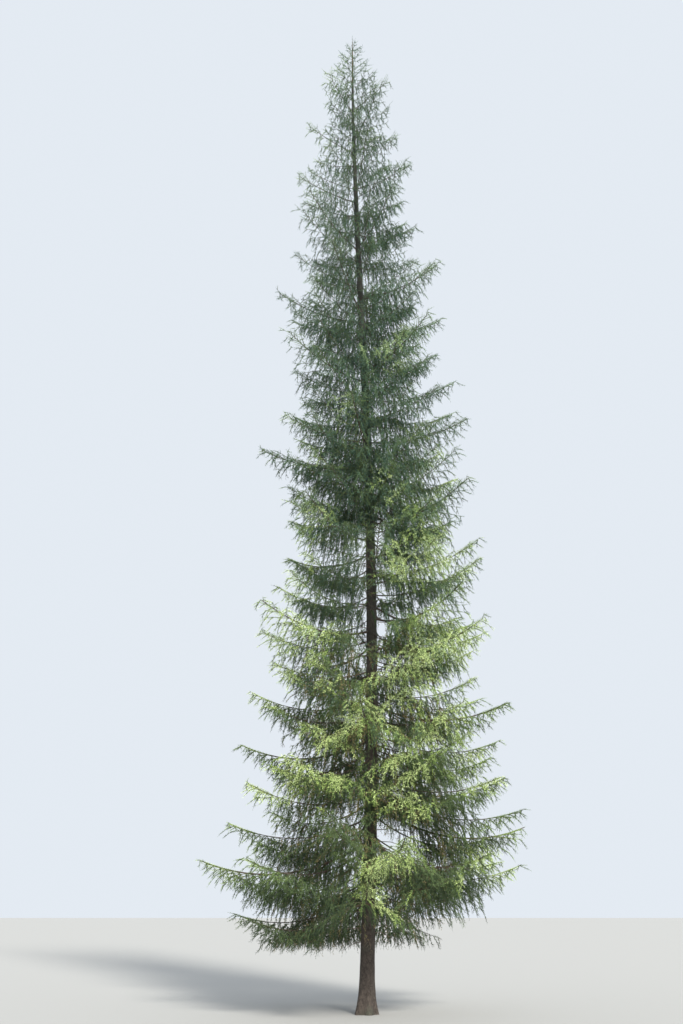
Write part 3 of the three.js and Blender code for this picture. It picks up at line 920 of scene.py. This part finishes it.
def needle_piece(name, growth, seed):
    """Needles all round every shoot, each one a slim triangle whose foot lies along the shoot."""
    random = np.random.default_rng(seed)
    root, bend, tip, _, bare, tones, _ = growth.columns()
    long = 0.5 * (np.linalg.norm(bend - root, axis=1) + np.linalg.norm(tip - bend, axis=1)
                  + np.linalg.norm(tip - root, axis=1))
    step, full, wide = needle_sizes(tip)
    count = np.maximum(FEWEST_NEEDLES, np.round(long * (1 - bare) / step)).astype(int)
    owner = np.repeat(np.arange(len(count)), count)
    place = np.arange(count.sum()) - np.repeat(np.cumsum(count) - count, count)
    s = (bare[owner] + (1 - bare[owner]) * (place + NEEDLE_PLACE) / count[owner])[:, None]
    centre = on_line(root[owner], bend[owner], tip[owner], s)
    ahead = unit((bend[owner] - root[owner]) * (1 - s) + (tip[owner] - bend[owner]) * s)
    side = unit(np.cross(ahead, random.normal(size=(len(count), 3))[owner]))
    roll = (NEEDLE_TURN * place + random.uniform(-ROLL_SPREAD, ROLL_SPREAD, len(place)))[:, None]
    outward = side * np.cos(roll) + np.cross(ahead, side) * np.sin(roll)
    length = full[owner][:, None] * (1 - SHORTER_AT_TIP * s**3) * random.uniform(*NEEDLE_LENGTHS, s.shape)
    angle = NEEDLE_ANGLE * (1 - CLOSER_AT_TIP * s**2) * random.uniform(*NEEDLE_ANGLES, s.shape)
    foot = ahead * (wide[owner][:, None] / 2)
    point = centre + length * (ahead * np.cos(angle) + outward * np.sin(angle))
    corners = np.stack([centre - foot, centre + foot, point], axis=1)
    kept = corners[:, :, 2].min(axis=1) > NEEDLE_FLOOR
    faces = np.arange(3 * kept.sum()).reshape(-1, 3)
    return joined(name, corners[kept].reshape(-1, 3), faces, NEEDLES, tones[owner[kept]])


# Materials

NEEDLE_ROUGHNESS = 0.56
PLAIN_SPECULAR = 0.3
BARK_STRETCH = (1, 1, 0.5)
BARK_ROUGHNESS = (0.78, 0.98)
BUMP_STRENGTH = 0.8
WARP_SHIFT = (0.05, 0.05, 0.05)
CRACK_WIDTH = 0.11
CRACK_MOST = 0.8
BREAKS = (0.42, 0.6)  # the values of the noise between which a crack opens
GRAIN_HEIGHT = 0.35
FLECKS = (0.45, 0.8)
ALGAE_PATCHES = (0.54, 0.74)
# Each noise has its scale and its detail.
WARP_NOISE = (30, 4)
BREAKS_NOISE = (42, 3)
GRAIN_NOISE = (160, 5)
ALGAE_NOISE = (2.6, 4)


def new_material(name):
    material = bpy.data.materials.new(name)
    material.use_nodes = True
    return material, material.node_tree, material.node_tree.nodes["Principled BSDF"]


def set_inputs(node, values):
    for name, value in values.items():
        node.inputs[name].default_value = value


def plain(name, colour, roughness):
    material, _, shader = new_material(name)
    set_inputs(shader, {"Base Color": linear(*colour), "Roughness": roughness})
    set_inputs(shader, {"Specular IOR Level": PLAIN_SPECULAR})
    return material


def noise(tree, place, scale, detail):
    texture = tree.nodes.new("ShaderNodeTexNoise")
    set_inputs(texture, {"Scale": scale, "Detail": detail})
    tree.links.new(place, texture.inputs["Vector"])
    return texture.outputs


def spread(tree, value, low, high, first=0.0, last=1.0, way="LINEAR"):
    """Values from low to high turned into values from first to last."""
    reach = tree.nodes.new("ShaderNodeMapRange")
    reach.interpolation_type = way
    set_inputs(reach, {"From Min": low, "From Max": high, "To Min": first, "To Max": last})
    tree.links.new(value, reach.inputs["Value"])
    return reach.outputs["Result"]


def maths(tree, operation, *terms):
    """A maths node. Each term may be a socket or a number."""
    node = tree.nodes.new("ShaderNodeMath")
    node.operation = operation
    for socket, term in zip(node.inputs, terms):
        if isinstance(term, bpy.types.NodeSocket):
            tree.links.new(term, socket)
        else:
            socket.default_value = term
    return node.outputs["Value"]


def mix_colours(tree, share, first, second):
    """A node that goes from the first colour to the second by share. Each may be a socket."""
    mix = tree.nodes.new("ShaderNodeMix")
    mix.data_type = "RGBA"
    tree.links.new(share, mix.inputs["Factor"])
    # Of the node's sockets, numbers 6 and 7 take a colour and number 2 gives one.
    for socket, colour in ((mix.inputs[6], first), (mix.inputs[7], second)):
        if isinstance(colour, bpy.types.NodeSocket):
            tree.links.new(colour, socket)
        else:
            socket.default_value = linear(*colour)
    return mix.outputs[2]


def flake_cells(tree, place, scale, feature):
    """Cells of uneven size, one for each flake of bark."""
    cells = tree.nodes.new("ShaderNodeTexVoronoi")
    cells.feature = feature
    tree.links.new(place, cells.inputs["Vector"])
    tree.links.new(scale, cells.inputs["Scale"])
    return cells.outputs


def bark_effect():
    """Flaky scales with broken cracks between them, finer grain, and slow patches of algae."""
    group = bpy.data.node_groups.new("spruce bark", "ShaderNodeTree")
    group.interface.new_socket("Place", in_out="INPUT", socket_type="NodeSocketVector")
    group.interface.new_socket("Scale", in_out="INPUT", socket_type="NodeSocketFloat")
    link = group.links.new
    given = group.nodes.new("NodeGroupInput").outputs
    stretch = group.nodes.new("ShaderNodeMapping")
    set_inputs(stretch, {"Scale": BARK_STRETCH})
    link(given["Place"], stretch.inputs["Vector"])
    upright = stretch.outputs["Vector"]
    warped = group.nodes.new("ShaderNodeVectorMath")
    warped.operation = "MULTIPLY_ADD"
    link(noise(group, upright, *WARP_NOISE)["Color"], warped.inputs[0])
    warped.inputs[1].default_value = WARP_SHIFT
    link(upright, warped.inputs[2])
    place = warped.outputs["Vector"]
    shade = group.nodes.new("ShaderNodeSeparateColor")
    link(flake_cells(group, place, given["Scale"], "F1")["Color"], shade.inputs["Color"])
    edges = flake_cells(group, place, given["Scale"], "DISTANCE_TO_EDGE")["Distance"]
    crack = spread(group, edges, 0, CRACK_WIDTH, 1, 0, "SMOOTHSTEP")
    breaks = noise(group, upright, *BREAKS_NOISE)["Fac"]
    broken = maths(group, "MULTIPLY", crack, spread(group, breaks, *BREAKS, 0, CRACK_MOST))
    grain = noise(group, upright, *GRAIN_NOISE)["Fac"]
    lowered = maths(group, "SUBTRACT", shade.outputs["Green"], broken)
    values = {
        "Scales": shade.outputs["Red"],
        "Cracks": broken,
        "Grain": grain,
        "Patches": noise(group, given["Place"], *ALGAE_NOISE)["Fac"],
        "Height": maths(group, "MULTIPLY_ADD", grain, GRAIN_HEIGHT, lowered),
    }
    for name in values:
        group.interface.new_socket(name, in_out="OUTPUT", socket_type="NodeSocketFloat")
    out = group.nodes.new("NodeGroupOutput")
    for name, value in values.items():
        link(value, out.inputs[name])
    return group


BARK_EFFECT = bark_effect()


def bark(name, scale, depth, dark, light, crack, algae, shaded=None):
    """Bark with flakes from dark to light. Where shaded is given, it turns to that painted shade high up.
    """
    material, tree, shader = new_material(name)
    link = tree.links.new
    place = tree.nodes.new("ShaderNodeTexCoord").outputs["Object"]
    effect = tree.nodes.new("ShaderNodeGroup")
    effect.node_tree = BARK_EFFECT
    set_inputs(effect, {"Scale": scale})
    link(place, effect.inputs["Place"])
    seen = effect.outputs
    colour = mix_colours(tree, seen["Scales"], dark, light)
    colour = mix_colours(tree, spread(tree, seen["Grain"], *FLECKS), colour, light)
    colour = mix_colours(tree, spread(tree, seen["Patches"], *ALGAE_PATCHES), colour, algae)
    # Painted shade on the trunk inside the crown.
    if shaded:
        up = tree.nodes.new("ShaderNodeSeparateXYZ")
        link(place, up.inputs["Vector"])
        height = spread(tree, up.outputs["Z"], SHADED_FROM, SHADED_FULL)
        colour = mix_colours(tree, height, colour, shaded)
    colour = mix_colours(tree, seen["Cracks"], colour, crack)
    link(colour, shader.inputs["Base Color"])
    link(spread(tree, seen["Grain"], 0, 1, *BARK_ROUGHNESS), shader.inputs["Roughness"])
    bump = tree.nodes.new("ShaderNodeBump")
    set_inputs(bump, {"Strength": BUMP_STRENGTH, "Distance": depth})
    link(seen["Height"], bump.inputs["Height"])
    link(bump.outputs["Normal"], shader.inputs["Normal"])
    return material


TRUNK_BARK = bark(
    "trunk bark",
    scale=64,
    depth=0.005,
    dark=(56, 49, 44),
    light=(88, 79, 72),
    crack=(39, 33, 30),
    algae=(78, 81, 69),
    shaded=(50, 52, 46),
)
BOUGH_BARK = bark(
    "bough bark",
    scale=110,
    depth=0.002,
    dark=(64, 53, 46),
    light=(94, 82, 71),
    crack=(44, 35, 31),
    algae=(90, 96, 80),
)
DEAD_BARK = bark(
    "dead twig bark",
    scale=80,
    depth=0.002,
    dark=(92, 78, 68),
    light=(134, 120, 106),
    crack=(60, 48, 42),
    algae=(120, 126, 104),
)
TWIG_BARKS = (plain("old twig", (80, 68, 54), 0.9), plain("leafy twig", (84, 100, 62), 0.8))
# Copies of one needle colour with painted shade and painted sunlight in them, warm low and cool high, and
# dry needles of their own colour.
NEEDLE_COLOURS = {
    "deep": (48, 66, 46),
    "shade": (92, 114, 72),
    "grown": (134, 160, 88),
    "sunlit": (186, 214, 120),
    "fresh sunlit": (225, 246, 164),
    "cool deep": (56, 84, 74),
    "cool shade": (84, 116, 98),
    "cool grown": (114, 144, 114),
    "cool sunlit": (150, 180, 126),
    "cool fresh sunlit": (188, 214, 150),
    "dry": (138, 122, 84),
}
NEEDLES = tuple(plain(tone + " needles", NEEDLE_COLOURS[tone], NEEDLE_ROUGHNESS)
                for tone in (*WARM_TONES, *COOL_TONES, "dry"))


# Trunk and limbs

def select_lengthwise():
    """Selects the edges that run up the trunk, in edit mode."""
    form = bmesh.from_edit_mesh(bpy.context.edit_object.data)
    for edge in form.edges:
        one, other = edge.verts
        edge.select = abs(one.co.z - other.co.z) > 1e-6
    form.select_flush_mode()
    bmesh.update_edit_mesh(bpy.context.edit_object.data)


def ringed_cylinder():
    """An upright cylinder one metre high and two across, cut into many rings."""
    bpy.ops.mesh.primitive_cylinder_add(vertices=TRUNK_SIDES, radius=1, depth=1, location=(0, 0, 0.5))
    piece = bpy.context.object
    bpy.ops.object.transform_apply(location=True)
    bpy.ops.object.mode_set(mode="EDIT")
    for cuts in TRUNK_CUTS:
        bpy.ops.mesh.select_mode(type="EDGE")
        bpy.ops.mesh.select_all(action="DESELECT")
        select_lengthwise()
        bpy.ops.mesh.subdivide(number_cuts=cuts)
    bpy.ops.object.mode_set(mode="OBJECT")
    return piece


def corner_places(piece):
    places = np.zeros(len(piece.data.vertices) * 3)
    piece.data.vertices.foreach_get("co", places)
    return places.reshape(-1, 3)


def move_corners(piece, places):
    piece.data.vertices.foreach_set("co", places.ravel())
    piece.data.update()


def trunk_places(places, boughs):
    """Where the cylinder's corners go on the trunk, with its taper, sway, flare and collars."""
    height = TRUNK_TOP * np.clip(places[:, 2], 0, 1) ** RING_CROWDING
    angle = np.arctan2(places[:, 1], places[:, 0])
    flare = FLARE_OUT * np.exp(-height / FLARE_HEIGHT) * (1 + LOBE_DEPTH * np.cos(FLARE_LOBES * angle))
    wide = trunk_radius(height) + flare
    shaped = np.stack([wide * np.cos(angle), wide * np.sin(angle), height], axis=1)
    shaped[:, 0] += sway(height)
    for bough in boughs:
        seat = bough.root + bough.forward * trunk_radius(bough.root.z)
        near = np.linalg.norm(shaped - np.array(seat), axis=1)
        swell = COLLAR_RISE * bough.thickness * np.exp(-((near / COLLAR_WIDTH) ** 2))
        shaped[:, 0] += swell * bough.forward.x
        shaped[:, 1] += swell * bough.forward.y
    return shaped


def apply_displace(piece, texture_kind, size, strength, **settings):
    texture = bpy.data.textures.new(piece.name + "_" + texture_kind.lower(), texture_kind)
    texture.noise_scale = size
    for key, value in settings.items():
        setattr(texture, key, value)
    relief = piece.modifiers.new("relief", "DISPLACE")
    relief.texture = texture
    relief.strength = strength
    relief.mid_level = 0.5
    bpy.context.view_layer.objects.active = piece
    bpy.ops.object.modifier_apply(modifier=relief.name)


def build_trunk(boughs):
    """The trunk with its bark's relief. Its foot stays flat on the ground."""
    piece = ringed_cylinder()
    piece.name = piece.data.name = "trunk_bark"
    shaped = trunk_places(corner_places(piece), boughs)
    move_corners(piece, shaped)
    bpy.ops.object.shade_smooth()
    apply_displace(piece, "CLOUDS", SWELL_SCALE, SWELL_RELIEF)
    apply_displace(piece, "VORONOI", FLAKE_SCALE, FLAKE_RELIEF, weight_1=-1.0, weight_2=1.0)
    rough = corner_places(piece)
    rough[:, 2] = np.maximum(rough[:, 2], 0)
    rough[shaped[:, 2] == 0, 2] = 0
    move_corners(piece, rough)
    piece.data.materials.append(TRUNK_BARK)
    return piece


def limb(bough):
    """The corners and triangles of one limb, a tube that swells and thins a little along its way."""
    is_main = bough.thickness == 1
    rings = max(LEAST_RINGS, int(bough.reach / (LIMB_STEP if is_main else LESSER_LIMB_STEP)))
    shares = np.linspace(0, 1, rings)
    points = np.array([bough.at(t) for t in shares])
    radii = np.array([bough.radius(t) for t in shares])
    knots = np.sin(KNOT_WAVE * shares * bough.reach + bough.root.z * KNOT_SHIFT)
    radii = radii * (1 + KNOT_SWELL * knots)
    return tubes(points[None], radii[None], LIMB_SIDES if is_main else LESSER_LIMB_SIDES)


def limb_piece(name, boughs):
    """The limbs of a mass with rough bark: its main bough and the lesser ones."""
    piece = joined(name, *merged([limb(bough) for bough in boughs]), [BOUGH_BARK])
    piece.data.polygons.foreach_set("use_smooth", [True] * len(piece.data.polygons))
    apply_displace(piece, "CLOUDS", LIMB_RELIEF_SCALE, LIMB_RELIEF)
    return piece


# Making the tree

def on_root(piece, slot, *nodes):
    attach(piece, "root")
    if nodes:
        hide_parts(*nodes)


def build_mass(whorl, number, boughs, draw):
    """The limbs, twigs and needles that take the place of one mass and of its bare bough."""
    label = f"{whorl.index + 1:02d}_{number + 1}"
    growth = Growth()
    for bough in boughs:
        dress(growth, bough, draw)
    node = "foliage_" + label
    bare_bough = ["bough_" + label] if whorl.index < BARE_WHORLS else []
    on_root(limb_piece("limbs_" + label, boughs), "bough_bark", *bare_bough, node)
    on_root(twig_piece("twigs_" + label, growth, TWIG_BARKS), "bough_bark", node)
    seed = SEED_NEEDLES_MASS + SEED_MASS_STEP * whorl.index + number
    on_root(needle_piece("needles_" + label, growth, seed), "needles", node)


def build_crown():
    """All masses, and the trunk with a collar for each of their boughs."""
    masses = []
    for whorl in (Whorl(index) for index in range(len(WHORLS))):
        for number in range(whorl.boughs):
            draw = seeded(SEED_MASS + SEED_MASS_STEP * whorl.index + number)
            main = main_bough(whorl, number)
            boughs = [main, *lesser_boughs(main, draw), *screen_boughs(main, draw)]
            masses.append((whorl, number, boughs, draw))
    trunk = build_trunk([bough for _, _, boughs, _ in masses for bough in boughs])
    on_root(trunk, "trunk_bark", "trunk")
    for mass in masses:
        build_mass(*mass)


def build_leader():
    growth = leader_growth()
    on_root(twig_piece("leader_shoots", growth, TWIG_BARKS), "bough_bark", "leader")
    on_root(needle_piece("leader_needles", growth, SEED_LEADER_NEEDLES), "needles", "leader")


def build_dead_twigs():
    on_root(twig_piece("dead_twigs", dead_growth(), (DEAD_BARK, DEAD_BARK)), "bough_bark")


build_crown()
build_leader()
build_dead_twigs()


# Floor, light and camera

def lay_floor():
    bpy.ops.mesh.primitive_plane_add(size=FLOOR_SIZE, location=(0, 0, 0))
    floor = bpy.context.object
    floor.name = "studio_floor"
    material, _, shader = new_material("pale floor")
    set_inputs(shader, {"Base Color": FLOOR_COLOUR, "Roughness": FLOOR_ROUGHNESS})
    floor.data.materials.append(material)


def set_light():
    world = bpy.data.worlds.new("studio light")
    world.use_nodes = True
    set_inputs(world.node_tree.nodes["Background"], {"Color": SKY_COLOUR, "Strength": SKY_STRENGTH})
    bpy.context.scene.world = world
    sun = bpy.data.lights.new("soft key", "SUN")
    sun.energy = SUN_STRENGTH
    sun.angle = math.radians(SUN_WIDTH)
    sun.color = SUN_COLOUR
    key = bpy.data.objects.new("soft_key", sun)
    key.rotation_euler = (math.radians(SUN_TILT), 0, math.radians(SUN_TURN))
    bpy.context.scene.collection.objects.link(key)


def set_camera():
    view = bpy.data.cameras.new("front")
    view.lens = CAMERA_LENS
    view.sensor_width = CAMERA_LONG_SIDE
    camera = bpy.data.objects.new("front_camera", view)
    camera.location = CAMERA_PLACE
    camera.rotation_euler = (math.radians(CAMERA_LEVEL + CAMERA_PITCH), 0, 0)
    bpy.context.scene.collection.objects.link(camera)
    bpy.context.scene.camera = camera
    bpy.context.scene.view_settings.view_transform = "Standard"


lay_floor()
set_light()
set_camera()
